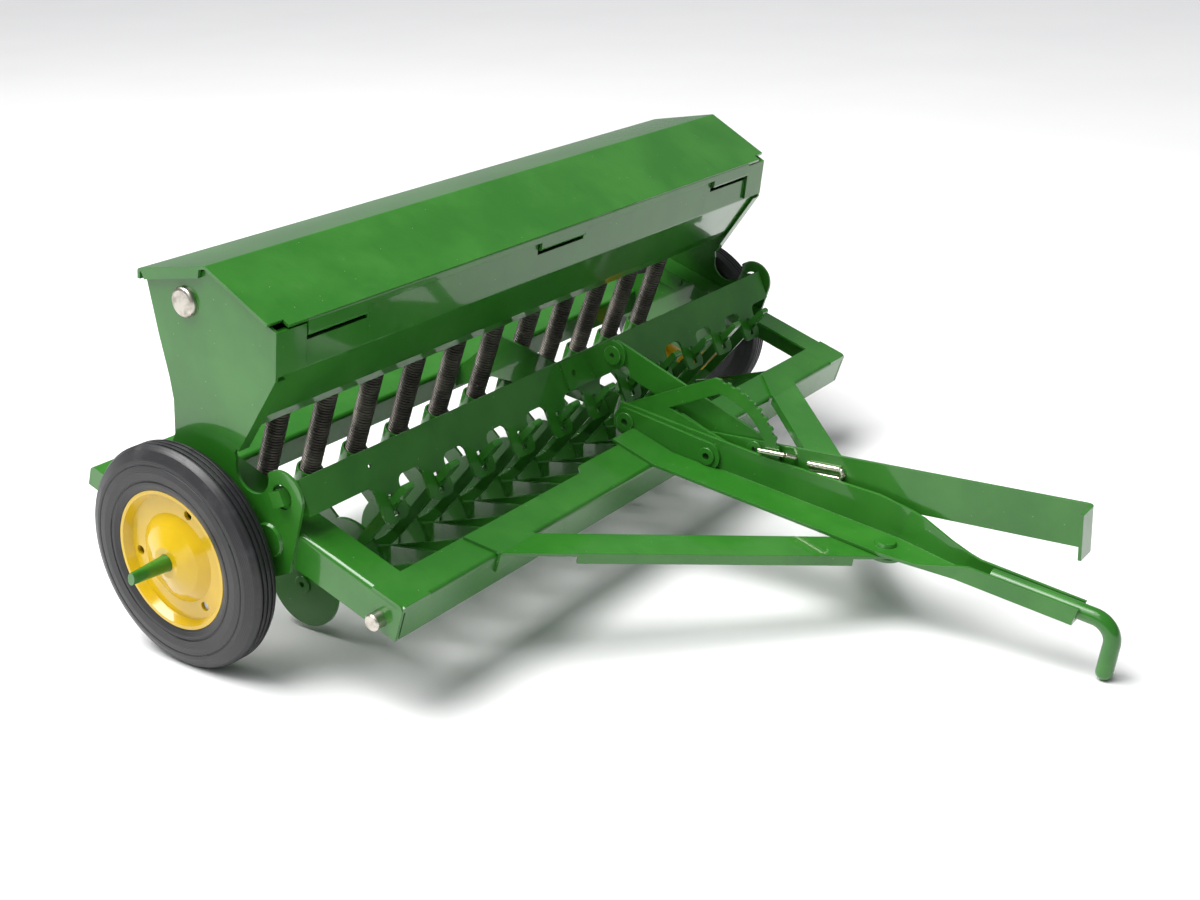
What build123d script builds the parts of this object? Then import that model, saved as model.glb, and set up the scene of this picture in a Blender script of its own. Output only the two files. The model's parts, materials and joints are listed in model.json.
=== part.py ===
from build123d import *
from math import atan2, cos, degrees, hypot, radians, sin
import os

os.makedirs("parts", exist_ok=True)

# ---------------------------------------------------------------------------
# Driving dimensions, in millimetres.
# The machine stands nose-down, on its two tyres and the tip of its hitch hook.
# Its pieces are drawn in the machine's own datum: X across, "back" along the
# side bars, "up" square to them, measured from the centre of the axles.
# ---------------------------------------------------------------------------
nose_down = 19.0
axle_back = 83.8
gauge = 0.9
bend = 0.5
wire_radius = 2.3
running = 0.06
gap = 0.3
seat = 0.05

tyre_radius = 31.0
tyre_width = 10.4
rim_radius = 19.3
wheel_clear = 1.9

frame_half = 115.3
frame_front = -65.2
bar_width = 10.3
web_top = 22.8
flange_depth = 10.5
side_bar_rear = 14.0
rod_point = (-59.0, 15.4)
rivet_point = (-21.5, 16.0)
rivet_spacing = 26.0

wall_top = (-11.0, 72.0)
wall_bend = (-13.4, 60.0)
chute_lip = (-8.7, 44.6)
hopper_floor = 40.0
hopper_rear = [(17.2, 40.0), (25.6, 52.4), (32.6, 65.0)]
ridge = (13.0, 78.2)
lid_rear = (35.3, 66.2)
lid_overhang = 1.4
lid_tab_width = 22.0
lid_tab_place = 94.5
flange_lap = 10.4

lift_pivot = (-22.8, 30.3)
lift_top = (-24.3, 35.4)
lift_bottom = (-30.7, 28.1)
lift_half = 113.6
ear_radius = 7.0
opener_count = 11
opener_pitch = 18.4
tab_shift = 5.6
tab_width = 9.0
tab_length = 11.0
slot_width = 1.8
slot_length = 5.8
slot_place = 6.6
strap_width = 3.0
strap_head = 3.6
hub_point = (-17.5, -12.0)
disc_radius = 12.5
leg_spread = 8.0
tube_radius = 3.0
tube_top = (3.0, 41.5)
tube_bore = 2.2
tube_foot = (4.6, -2.0)
boot_length = 8.0
boot_radius = 3.9
plate_clear = 0.5

tongue_half = 6.3
tongue_rise = 0.2016
tongue_rear = -50.4
tongue_knee = -65.2
tongue_neck = -158.0
tongue_tip = -190.0
hook_corner = -199.6
hook_bend = 6.0

lever_pivot = (-75.9, 28.8)
lever_pin = (-87.9, 37.2)
link_rear = (-34.8, 39.8)
stay_rear = (-47.2, 24.0)
lever_angle = 159.0
lever_length = 113.0
lever_width = 12.5
grip_length = 8.0
quadrant_radius = 23.8
quadrant_bore = 19.5
eyelet_shank = 1.8
panel_rivet_shank = 1.6
pin_shank = 1.5
latch_wire_radius = 0.65
brace_rivet_place = -136.4
brace_rear = 71.0
brace_width = 10.5
brace_depth = 3.0
brace_ease = 0.22

crossbar_front = 20.5
crossbar_rear = 31.2
crossbar_top = 3.3
footboard_rear = 41.0
footboard_top = 2.4
footboard_overhang = 4.7
footboard_half = frame_half + footboard_overhang
footboard_flange = 6.2

# ---------------------------------------------------------------------------
# Datum planes and small drawing helpers
# ---------------------------------------------------------------------------
tilt = radians(nose_down)
across = Vector(1, 0, 0)
back = Vector(0, cos(tilt), sin(tilt))
up = Vector(0, -sin(tilt), cos(tilt))
axle_centre = Vector(0, axle_back, tyre_radius)


def point(x, y, z):
    """A point of the machine's datum, in the part's own frame."""
    return axle_centre + across * x + back * y + up * z


def section(x):
    """The plane seen from the side: its own x runs back, its y up, its normal across."""
    return Plane(origin=point(x, 0, 0), x_dir=back, z_dir=across)


def level(z):
    """The plane seen from above: its own x runs across and its y back."""
    return Plane(origin=point(0, 0, z), x_dir=across, z_dir=up)


def front(y):
    """The plane seen from the front: its own x runs across, its y up, its normal forward."""
    return Plane(origin=point(0, y, 0), x_dir=across, z_dir=-back)


def along(start, end, distance, aside=0.0):
    """The point at a distance from start towards end, and aside to the left of that line."""
    span = hypot(end[0] - start[0], end[1] - start[1])
    ux = (end[0] - start[0]) / span
    uy = (end[1] - start[1]) / span
    return (start[0] + ux * distance - uy * aside, start[1] + uy * distance + ux * aside)


def polygon(plane, points):
    """A flat outline through points."""
    with BuildSketch(plane) as outline:
        with BuildLine():
            Polyline(*points, close=True)
        make_face()
    return outline.sketch


def sheet(plane, points, side=Side.LEFT, radius=gauge + bend, thick=gauge):
    """The edge of a sheet bent along a line of points, one gauge thick to one side."""
    with BuildSketch(plane) as edge:
        with BuildLine():
            FilletPolyline(*points, radius=radius)
            offset(amount=thick, side=side)
        make_face()
    return edge.sketch


def strip(plane, start, end, width, bores=()):
    """A flat strip with round ends between two points, with bores given as (point, radius)."""
    angle = degrees(atan2(end[1] - start[1], end[0] - start[0]))
    middle = ((start[0] + end[0]) / 2, (start[1] + end[1]) / 2)
    with BuildSketch(plane) as outline:
        with Locations(middle):
            SlotCenterToCenter(hypot(end[0] - start[0], end[1] - start[1]), width, rotation=angle)
        for centre, radius in bores:
            with Locations(centre):
                Circle(radius, mode=Mode.SUBTRACT)
    return outline.sketch


def folded_plate(path, outline, side=Side.LEFT, radius=gauge + bend):
    """A plate on edge: bent along a path seen from above, cut to an outline seen from the side."""
    with BuildPart() as plate:
        extrude(sheet(level(-60), path, side, radius), amount=160)
        extrude(polygon(section(-150), outline), amount=300, mode=Mode.INTERSECT)
    return plate.part


def eyelet(centre, x_near, x_far, head_near, head_far, shank, bore, head=0.6):
    """A hollow eyelet rivet across the machine, with a rolled head on each side."""
    with BuildPart() as rivet:
        with BuildSketch(section(x_near - head)):
            with Locations(centre):
                Circle(head_near)
        extrude(amount=head)
        with BuildSketch(section(x_near)):
            with Locations(centre):
                Circle(shank)
        extrude(amount=x_far - x_near)
        with BuildSketch(section(x_far)):
            with Locations(centre):
                Circle(head_far)
        extrude(amount=head)
        outer = [e for e in rivet.edges().filter_by(GeomType.CIRCLE) if e.radius > shank + 0.2]
        fillet(outer, head * 0.4)
        with BuildSketch(section(x_near - head)):
            with Locations(centre):
                Circle(bore)
        extrude(amount=x_far - x_near + 2 * head, mode=Mode.SUBTRACT)
    return rivet.part


def mirrored(part):
    """The same piece for the other side of the machine."""
    with BuildPart() as other:
        mirror(part, about=Plane.YZ)
    return other.part


pieces = {}


def keep(name, part):
    """Label a finished piece and remember it for writing."""
    part.label = name
    pieces[name] = part


# ---------------------------------------------------------------------------
# Main frame: front bar and two side bars in one stamping, flanges turned down
# ---------------------------------------------------------------------------
opening_front = frame_front + bar_width
flange_foot = web_top - flange_depth
landing_half = 26.0
landing_depth = 2.4
seam = 0.5

with BuildPart() as main_frame:
    front_bar = [(frame_front, flange_foot), (frame_front, web_top), (opening_front, web_top)]
    extrude(sheet(section(-frame_half), front_bar, Side.RIGHT), amount=2 * frame_half)
    side_bar = [(-frame_half, flange_foot), (-frame_half, web_top), (-frame_half + bar_width, web_top)]
    extrude(sheet(front(frame_front), side_bar, Side.RIGHT), amount=frame_front - side_bar_rear)
    mirror(about=Plane.YZ)
    landing = [
        (-landing_half - landing_depth, opening_front),
        (-landing_half, opening_front + landing_depth),
        (landing_half, opening_front + landing_depth),
        (landing_half + landing_depth, opening_front),
    ]
    extrude(polygon(level(web_top - gauge), landing), amount=gauge)
    corner = frame_half - gauge - seam
    for side in (-1, 1):
        cut = [(side * corner, flange_foot), (side * (corner + seam), flange_foot)]
        cut += [(side * (corner + seam), web_top - 2 * gauge), (side * corner, web_top - 2 * gauge)]
        extrude(polygon(front(frame_front - gap), cut), amount=-(gauge + 2 * gap), mode=Mode.SUBTRACT)
    with BuildSketch(section(-frame_half)):
        with Locations(rod_point):
            Circle(wire_radius)
        with Locations(rivet_point, (rivet_point[0] + rivet_spacing, rivet_point[1])):
            Circle(panel_rivet_shank)
    extrude(amount=2 * frame_half, mode=Mode.SUBTRACT)
keep("main_frame", main_frame.part)

with BuildPart() as pivot_rod:
    with BuildSketch(section(-frame_half - 3.0)):
        with Locations(rod_point):
            Circle(wire_radius)
    extrude(amount=2 * frame_half + 6.0)
    chamfer(pivot_rod.edges(), 0.4)
keep("pivot_rod", pivot_rod.part)

# ---------------------------------------------------------------------------
# Hopper: one shell, three slots in its front for the lid, holes for the tubes
# ---------------------------------------------------------------------------
inner_half = frame_half
hinge_down = 3.6
slot_above = 1.75
slot_below = 1.75
openers = [opener_pitch * (k - (opener_count - 1) / 2) for k in range(opener_count)]
tab_places = (-lid_tab_place, 0.0, lid_tab_place)


def on_wall(down, out):
    """A point on the hopper's front wall: down from its top edge and out from its face."""
    return along(wall_top, wall_bend, down, -out)


hinge_point = on_wall(hinge_down - gauge / 2, -gauge / 2)

with BuildPart() as hopper_shell:
    floor_front = (chute_lip[0] + 2.2, hopper_floor)
    shell_line = [wall_top, wall_bend, chute_lip, floor_front, *hopper_rear]
    extrude(sheet(section(-inner_half), shell_line, Side.LEFT, 1.2), amount=2 * inner_half)
    for place in tab_places:
        slot_top = hinge_down - gauge / 2 - slot_above
        slot_foot = hinge_down - gauge / 2 + slot_below
        slot = [on_wall(slot_top, 1), on_wall(slot_top, -2), on_wall(slot_foot, -2), on_wall(slot_foot, 1)]
        slot_half = lid_tab_width / 2 + gap
        extrude(polygon(section(place - slot_half), slot), amount=2 * slot_half, mode=Mode.SUBTRACT)
    tube_lean = (tube_top[0] - tube_foot[0]) / (tube_top[1] - tube_foot[1])
    mouth = tube_foot[0] + tube_lean * (hopper_floor - tube_foot[1])
    with BuildSketch(level(hopper_floor - 3)):
        with Locations(*[(x, mouth) for x in openers]):
            Circle(tube_radius + running)
    extrude(amount=6, mode=Mode.SUBTRACT)
keep("hopper_shell", hopper_shell.part)

# ---------------------------------------------------------------------------
# End panels: hopper end, axle plate and the round ear of the lift shaft
# ---------------------------------------------------------------------------
panel_in = inner_half
panel_out = panel_in + gauge
axle_boss = 8.5
chute_foot = (-5.2, 33.2)
notch_radius = 5.8
notch_centre = (-11.9, 31.3)
ear_front = lift_pivot[0] - ear_radius
tie_point = (18.5, 65.0)

lid_thick = gauge + 0.4
panel_ridge = (ridge[0] - 0.1, ridge[1] - lid_thick - 0.2)
panel_rear = (hopper_rear[2][0] + gauge, hopper_rear[2][1] + 0.4)

with BuildPart() as end_panel_left:
    outline = [
        panel_rear,
        panel_ridge,
        on_wall(0, gauge),
        along(wall_bend, chute_lip, 0, -gauge),
        chute_foot,
        (notch_centre[0] + notch_radius, notch_centre[1]),
        (notch_centre[0] + 1.0, notch_centre[1] - 2.0),
        (notch_centre[0] - notch_radius, notch_centre[1]),
        (lift_pivot[0] + 2.0, lift_pivot[1]),
        lift_pivot,
        (ear_front, lift_pivot[1]),
        (ear_front, 10.5),
        (-9.0, -axle_boss),
        (crossbar_rear, -axle_boss),
        (crossbar_rear, crossbar_top),
        (18.5, 12.0),
        (15.8, 26.8),
        (17.9, 36.0),
        (hopper_rear[0][0] + 3.2, hopper_rear[0][1] + 1.4),
        (hopper_rear[1][0] + gauge, hopper_rear[1][1] - 0.4),
    ]
    extrude(polygon(section(-panel_out), outline), amount=gauge)
    with BuildSketch(section(-panel_out)):
        with Locations(lift_pivot):
            Circle(ear_radius)
    extrude(amount=gauge)
    with BuildSketch(section(-panel_out)):
        with Locations(notch_centre):
            Circle(notch_radius)
        with Locations(lift_pivot):
            Circle(3.3)
        with Locations((0, 0)):
            Circle(wire_radius)
        with Locations(rivet_point, (rivet_point[0] + rivet_spacing, rivet_point[1])):
            Circle(panel_rivet_shank)
        with Locations(tie_point):
            Circle(wire_radius)
    extrude(amount=gauge, mode=Mode.SUBTRACT)
    # the flange folded round onto the hopper's front wall, and on down the slant
    lap = [on_wall(0, 0), on_wall(0, gauge), on_wall(11.6, gauge), on_wall(11.6, 0)]
    extrude(polygon(section(-panel_out), lap), amount=flange_lap)
    slant = [along(wall_bend, chute_foot, 0.4, -seat), along(wall_bend, chute_foot, 26.5, -seat)]
    slant += [along(wall_bend, chute_foot, 26.5, -gauge), along(wall_bend, chute_foot, 0.4, -gauge)]
    extrude(polygon(section(-panel_out), slant), amount=3.6)
keep("end_panel_left", end_panel_left.part)
keep("end_panel_right", mirrored(end_panel_left.part))

# domed rivets that hold each panel to its side bar, and the hopper's tie rod
with BuildPart() as panel_rivet:
    for y in (rivet_point[0], rivet_point[0] + rivet_spacing):
        with BuildSketch(section(-panel_out)):
            with Locations((y, rivet_point[1])):
                Circle(panel_rivet_shank)
        extrude(amount=2 * gauge + 0.5)
        with BuildSketch(section(-panel_out - 0.9)):
            with Locations((y, rivet_point[1])):
                Circle(4.4)
        extrude(amount=0.9, taper=-20)
    mirror(about=Plane.YZ)
keep("panel_rivets", panel_rivet.part)

with BuildPart() as tie_rod:
    with BuildSketch(section(-panel_out)):
        with Locations(tie_point):
            Circle(wire_radius)
    extrude(amount=2 * panel_out)
    with BuildSketch(section(-panel_out)):
        with Locations(tie_point):
            Circle(4.0)
    extrude(amount=-1.5)
    fillet(tie_rod.edges().filter_by(GeomType.CIRCLE).sort_by(Axis.X)[0], 1.0)
    with BuildSketch(section(panel_out)):
        with Locations(tie_point):
            Circle(4.0)
    extrude(amount=1.5)
    fillet(tie_rod.edges().filter_by(GeomType.CIRCLE).sort_by(Axis.X)[-1], 1.0)
keep("hopper_tie_rod", tie_rod.part)

# ---------------------------------------------------------------------------
# Lid: flat rear, slope to the front, three curled tabs that hinge in the slots
# ---------------------------------------------------------------------------
lid_half = panel_out + gap + gauge
lid_corner = on_wall(-lid_thick, gap + gauge)
lip_half = panel_out - flange_lap - gap
rear_lip = 2.6

with BuildPart() as lid:
    lid_line = [(lid_rear[0] - 0.5, lid_rear[1] - rear_lip), lid_rear, ridge, lid_corner]
    extrude(sheet(section(-lid_half), lid_line, Side.LEFT, 1.1), amount=2 * lid_half)
    flange_line = [along(lid_rear, ridge, 1.0, 0.3), along(lid_rear, ridge, 23.2, 0.3)]
    flange_line += [along(lid_rear, ridge, 22.0, 3.0), along(lid_rear, ridge, 1.6, 3.0)]
    extrude(polygon(section(-lid_half), flange_line), amount=gauge)
    extrude(polygon(section(lid_half - gauge), flange_line), amount=gauge)
    # the front corners are cut back clear of the folded flanges
    notch = [along(lid_corner, ridge, -1, -3), along(lid_corner, ridge, 2.2, -3)]
    notch += [along(lid_corner, ridge, 2.2, 3), along(lid_corner, ridge, -1, 3)]
    for x in (-lid_half, lid_half - 5.2):
        extrude(polygon(section(x), notch), amount=5.2, mode=Mode.SUBTRACT)
    lip_line = [along(lid_corner, ridge, 3.0), lid_corner, on_wall(0.9, gap + gauge)]
    extrude(sheet(section(-lip_half), lip_line, Side.LEFT, 0.95), amount=2 * lip_half)
    tab_line = [along(lid_corner, ridge, 3.0), lid_corner, on_wall(hinge_down, gap + gauge)]
    tab_line += [on_wall(hinge_down, -gauge - 0.9)]
    for place in tab_places:
        tab_edge = sheet(section(place - lid_tab_width / 2), tab_line, Side.LEFT, 0.95)
        extrude(tab_edge, amount=lid_tab_width)
keep("lid", lid.part)

# ---------------------------------------------------------------------------
# Rear crossbar and footboard: two channels back to back
# ---------------------------------------------------------------------------
with BuildPart() as rear_crossbar:
    bar_line = [
        (crossbar_front, crossbar_top - 9.3),
        (crossbar_front, crossbar_top),
        (crossbar_rear, crossbar_top),
        (crossbar_rear, crossbar_top - 6.0),
    ]
    extrude(sheet(section(-inner_half), bar_line, Side.RIGHT), amount=2 * inner_half)
keep("rear_crossbar", rear_crossbar.part)

with BuildPart() as footboard:
    board_line = [
        (crossbar_rear, crossbar_top - 6.0),
        (crossbar_rear, footboard_top),
        (footboard_rear, footboard_top),
        (footboard_rear, footboard_top - footboard_flange),
    ]
    extrude(sheet(section(-footboard_half), board_line, Side.RIGHT), amount=2 * footboard_half)
    end_plate = [
        (crossbar_rear + gauge / 2, footboard_top - footboard_flange),
        (footboard_rear - gauge / 2, footboard_top - footboard_flange),
        (footboard_rear - gauge / 2, footboard_top - gauge / 2),
        (crossbar_rear + gauge / 2, footboard_top - gauge / 2),
    ]
    extrude(polygon(section(-footboard_half), end_plate), amount=gauge)
    extrude(polygon(section(footboard_half - gauge), end_plate), amount=gauge)
keep("footboard", footboard.part)

# ---------------------------------------------------------------------------
# Tongue: one stamping, a web with a wall on its right side, folded to a narrow
# channel at the front that grips the hook
# ---------------------------------------------------------------------------
channel_half = wire_radius + gauge + 0.02


def tongue_web(y):
    """Height of the top of the tongue's web at a place along it."""
    return web_top + gauge + max(0.0, tongue_knee - y) * tongue_rise


def tongue_plane(depth):
    """The plane of the tongue's sloping web at the brace rivet, some way below its top."""
    square = (up + back * tongue_rise).normalized()
    top = point(0, brace_rivet_place, tongue_web(brace_rivet_place))
    return Plane(origin=top - square * depth, x_dir=across, z_dir=square)


web_line = [(tongue_rear, tongue_web(0)), (tongue_knee, tongue_web(0)), (tongue_tip, tongue_web(tongue_tip))]
with BuildPart() as tongue_base:
    extrude(sheet(section(-tongue_half), web_line, Side.LEFT, 4.0), amount=2 * tongue_half)
    plan = [
        (-tongue_half, tongue_rear + 1),
        (tongue_half, tongue_rear + 1),
        (tongue_half, -138.0),
        (channel_half, tongue_neck),
        (channel_half, tongue_tip - 1),
        (-channel_half, tongue_tip - 1),
        (-channel_half, tongue_neck),
        (-tongue_half, -138.0),
    ]
    extrude(polygon(level(0), plan), amount=80, mode=Mode.INTERSECT)

wall_height = 9.0
stay_end = stay_rear[0] + 4.0
far_path = [(tongue_half, stay_end), (tongue_half, -138.0), (channel_half, tongue_neck)]
far_path += [(channel_half, tongue_tip)]
far_outline = [
    (stay_end, stay_rear[1] - 4.2),
    (tongue_rear, stay_rear[1] - 4.2),
    (tongue_rear, tongue_web(0) - gauge / 2),
    (tongue_knee, tongue_web(0) - gauge / 2),
    (tongue_tip, tongue_web(tongue_tip) - gauge / 2),
    (tongue_tip, tongue_web(tongue_tip) + 4.2),
    (tongue_neck - 3, tongue_web(tongue_neck - 3) + 4.4),
    (-152.0, tongue_web(-152.0) + 6.2),
    (-142.0, tongue_web(-142.0) + 9.0),
    (-128.0, tongue_web(-128.0) + wall_height + 1.6),
    (-95.0, tongue_web(-95.0) + wall_height),
    (-67.0, tongue_web(-67.0) + wall_height),
    (stay_end, stay_rear[1] + 4.6),
]
near_path = [(-tongue_half + 0.9, -145.0), (-channel_half, tongue_neck), (-channel_half, tongue_tip)]
near_outline = [
    (-146.0, tongue_web(-146.0) - gauge / 2),
    (tongue_tip, tongue_web(tongue_tip) - gauge / 2),
    (tongue_tip, tongue_web(tongue_tip) + 4.2),
    (tongue_neck - 2, tongue_web(tongue_neck - 2) + 4.0),
]
with BuildPart() as tongue:
    add(tongue_base.part)
    add(folded_plate(far_path, far_outline, Side.RIGHT, 6.0))
    add(folded_plate(near_path, near_outline, Side.LEFT, 6.0))
    with BuildSketch(section(0)):
        with Locations(lever_pivot, stay_rear):
            Circle(eyelet_shank)
    extrude(amount=20, mode=Mode.SUBTRACT)
    with BuildSketch(tongue_plane(0)):
        Circle(pin_shank)
    extrude(amount=-2 * gauge, both=True, mode=Mode.SUBTRACT)
keep("tongue", tongue.part)

# hitch hook: a length of wire gripped in the channel, turned down to the floor
hook_start = -166.0
tongue_fall = atan2(tongue_rise, 1.0)
hook_lift = wire_radius / cos(tongue_fall)
shank = (-sin(tongue_fall), -cos(tongue_fall))
hook_turn = (hook_corner, tongue_web(hook_corner) + hook_lift)
turn_height = tyre_radius + hook_turn[0] * sin(tilt) + hook_turn[1] * cos(tilt)
shank_fall = -(shank[0] * sin(tilt) + shank[1] * cos(tilt))
shank_length = (turn_height - wire_radius) / shank_fall
hook_tip = (hook_turn[0] + shank[0] * shank_length, hook_turn[1] + shank[1] * shank_length)

with BuildPart() as hitch_hook:
    with BuildLine(section(0)) as hook_line:
        hook_root = (hook_start, tongue_web(hook_start) + hook_lift)
        FilletPolyline(hook_root, hook_turn, hook_tip, radius=hook_bend)
    with BuildSketch(Plane(origin=hook_line.line @ 0, z_dir=hook_line.line % 0)):
        Circle(wire_radius)
    sweep()
    with Locations(hook_line.line @ 1):
        Sphere(wire_radius)
keep("hitch_hook", hitch_hook.part)

# ---------------------------------------------------------------------------
# Quadrant, stay strap, centre plate and the two braces
# ---------------------------------------------------------------------------
stay_in = tongue_half - gauge
quadrant_in = tongue_half
quadrant_out = quadrant_in + gauge
lever_in = quadrant_out + gauge
lever_out = lever_in + gauge
link_in = lever_out + gap
link_out = link_in + gauge
scallop = 1.2


def around(angle, radius):
    """A point round the lever's pivot."""
    return (
        lever_pivot[0] + radius * cos(radians(angle)),
        lever_pivot[1] + radius * sin(radians(angle)),
    )


with BuildPart() as quadrant:
    with BuildSketch(section(quadrant_in)):
        with BuildLine():
            Line(around(148, quadrant_radius), (-97.5, 35.0))
            Line((-97.5, 35.0), (-65.0, tongue_web(-65.0) + 0.6))
            Line((-65.0, tongue_web(-65.0) + 0.6), (-51.8, tongue_web(0) + 0.3))
            Line((-51.8, tongue_web(0) + 0.3), (-51.0, stay_rear[1] - 3.4))
            Line((-51.0, stay_rear[1] - 3.4), (-43.6, stay_rear[1] - 3.4))
            Line((-43.6, stay_rear[1] - 3.4), (-43.3, 27.4))
            Line((-43.3, 27.4), around(74, quadrant_radius))
            ThreePointArc(
                around(74, quadrant_radius), around(111, quadrant_radius), around(148, quadrant_radius)
            )
        make_face()
        with BuildLine():
            ThreePointArc(around(161, quadrant_bore), around(120, quadrant_bore), around(79.5, quadrant_bore))
            Line(around(79.5, quadrant_bore), (-58.6, 35.1))
            Line((-58.6, 35.1), around(161, quadrant_bore))
        make_face(mode=Mode.SUBTRACT)
        for k in range(9):
            with Locations(around(82 + 7.4 * k, quadrant_radius + 0.5)):
                Circle(scallop, mode=Mode.SUBTRACT)
        with Locations(lever_pivot, stay_rear):
            Circle(eyelet_shank, mode=Mode.SUBTRACT)
    extrude(amount=gauge)
keep("quadrant", quadrant.part)

stay_bores = ((stay_rear, eyelet_shank), (lever_pivot, eyelet_shank))
with BuildPart() as stay_strap:
    extrude(strip(section(stay_in - gauge), stay_rear, lever_pivot, 8.6, stay_bores), amount=gauge)
    with BuildSketch(section(stay_in - gauge)):
        with BuildLine():
            Polyline(
                (tongue_rear + gap, tongue_web(0) + 0.1),
                (tongue_knee, tongue_web(0) + 0.1),
                (-84.0, tongue_web(-84.0) + 0.1),
                (-84.0, 15.0),
                (tongue_rear + gap, 15.0),
                close=True,
            )
        make_face()
    extrude(amount=gauge, mode=Mode.SUBTRACT)
keep("stay_strap", stay_strap.part)

plate_side = opener_pitch - boot_radius - gauge - plate_clear
centre_path = [
    (plate_side, crossbar_front),
    (plate_side, -38.5),
    (quadrant_out, -43.8),
    (quadrant_out, -51.5),
]
centre_outline = [
    (crossbar_front, crossbar_top - 8.0),
    (crossbar_front, crossbar_top),
    (10.0, 20.9),
    (-38.0, 25.4),
    (-51.5, 27.4),
    (-51.5, 19.6),
    (-40.0, 18.8),
    (-20.0, 15.0),
    (8.0, 6.0),
]
with BuildPart() as centre_plate:
    add(folded_plate(centre_path, centre_outline, Side.LEFT, 1.2))
    with BuildSketch(section(quadrant_in)):
        with Locations(stay_rear):
            Circle(eyelet_shank)
    extrude(amount=4, mode=Mode.SUBTRACT)
keep("centre_plate", centre_plate.part)


def make_brace(side, stack):
    """A shallow channel from the front bar to the tongue, its front end stack gauges below the web."""
    depth = (1 + stack) * (gauge + brace_ease)
    head_y = brace_rivet_place - tongue_rise * depth
    head_z = tongue_web(brace_rivet_place) - depth
    foot_y = frame_front - gauge / 2
    foot_z = web_top + gauge - 0.1
    fall = back * (foot_y - head_y) + up * (foot_z - head_z)
    slope = Plane(origin=point(0, foot_y, foot_z), x_dir=across, z_dir=across.cross(fall))
    foot = (side * brace_rear, 0.0)
    head = (0.0, -fall.length)
    half = brace_width / 2
    lip_start = 10.0
    lip_end = hypot(brace_rear, fall.length) - brace_width
    rear_end = foot_y + gauge / 2
    corner = half * 2 ** 0.5
    with BuildPart() as brace:
        with BuildSketch(slope):
            add(strip(Plane.XY, along(foot, head, -half), head, brace_width, ((head, pin_shank),)))
            with Locations((0, half)):
                Rectangle(4 * brace_rear, brace_width, mode=Mode.SUBTRACT)
        extrude(amount=-gauge)
        for edge in (-1, 1):
            inner = edge * (half - gauge)
            outer = edge * half
            start = lip_start + side * edge * half
            lip = [along(foot, head, start, inner), along(foot, head, start, outer)]
            lip += [along(foot, head, lip_end, outer), along(foot, head, lip_end, inner)]
            extrude(polygon(slope, lip), amount=-brace_depth)
        pad = [
            (side * (brace_rear + corner), rear_end - gauge),
            (side * (brace_rear - corner), rear_end - gauge),
            (side * (brace_rear - corner), rear_end),
            (side * (brace_rear + 2.0), opening_front - 0.6),
            (side * (brace_rear + corner + 3.0), opening_front - 0.6),
            (side * (brace_rear + corner), rear_end),
        ]
        extrude(polygon(level(web_top), pad), amount=gauge)
        hook = [
            (side * (brace_rear + corner), web_top + gauge / 2),
            (side * (brace_rear + 1.5), web_top + gauge / 2),
            (side * (brace_rear + 1.5), web_top - 4.0),
            (side * (brace_rear + corner), web_top - 5.4),
        ]
        extrude(polygon(front(frame_front), hook), amount=gauge)
    return brace.part


keep("brace_left", make_brace(-1, 0))
keep("brace_right", make_brace(1, 1))

brace_grip = 3 * (gauge + brace_ease)
with BuildPart() as brace_rivet:
    with BuildSketch(tongue_plane(0)):
        Circle(3.2)
    extrude(amount=0.8, taper=35)
    with BuildSketch(tongue_plane(0)):
        Circle(pin_shank - seat)
    extrude(amount=-brace_grip)
    with BuildSketch(tongue_plane(brace_grip)):
        Circle(2.4)
    extrude(amount=-0.8)
keep("brace_rivet", brace_rivet.part)

# ---------------------------------------------------------------------------
# Axle stubs, washers, pressed wheels and rubber tyres
# ---------------------------------------------------------------------------
tyre_in = panel_out + wheel_clear
tyre_out = tyre_in + tyre_width
hub_face = tyre_out + 0.6
axle_tip = hub_face + 11.4
axle_line = Axis(axle_centre, across)

with BuildPart() as axle_left:
    with BuildSketch(section(-panel_in)):
        Circle(4.2)
    extrude(amount=1.4)
    with BuildSketch(section(-panel_in)):
        Circle(wire_radius)
    extrude(amount=-(hub_face - panel_in))
    with BuildSketch(section(-hub_face)):
        Circle(wire_radius)
    with BuildSketch(section(-axle_tip)):
        Ellipse(1.2, 1.9)
    loft()
keep("axle_stub_left", axle_left.part)
keep("axle_stub_right", mirrored(axle_left.part))

with BuildPart() as axle_washers:
    with BuildSketch(section(-panel_out)):
        Circle(5.2)
        Circle(wire_radius, mode=Mode.SUBTRACT)
    extrude(amount=-(wheel_clear - gap))
    mirror(about=Plane.YZ)
keep("axle_washers", axle_washers.part)

wheel_gauge = 1.0
dish = tyre_out - 3.3
rim_in = tyre_in + 0.9
rim_out = tyre_out - 0.9
wheel_bore = wire_radius + running
hub_radius = 3.8
with BuildPart() as wheel_left:
    with BuildSketch(front(0)):
        with BuildLine():
            Polyline(
                (-rim_in, rim_radius),
                (-rim_out, rim_radius),
                (-rim_out, rim_radius - wheel_gauge),
                (-dish, 17.2),
                (-dish, 12.4),
                (-dish - 1.9, 9.6),
                (-hub_face + 0.7, 6.2),
                (-hub_face, 4.2),
                (-hub_face, wheel_bore),
                (-tyre_in, wheel_bore),
                (-tyre_in, hub_radius),
                (-hub_face + 1.6, hub_radius),
                (-hub_face + 1.8, 5.8),
                (-dish - 1.1, 9.0),
                (-dish + wheel_gauge, 12.0),
                (-dish + wheel_gauge, rim_radius - wheel_gauge),
                (-rim_in, rim_radius - wheel_gauge),
                close=True,
            )
        make_face()
    revolve(axis=axle_line)
    with BuildSketch(section(-hub_face)):
        with PolarLocations(14.6, 3, start_angle=95):
            Circle(1.3)
    extrude(amount=hub_face - tyre_in, mode=Mode.SUBTRACT)
keep("wheel_left", wheel_left.part)
keep("wheel_right", mirrored(wheel_left.part))

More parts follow.
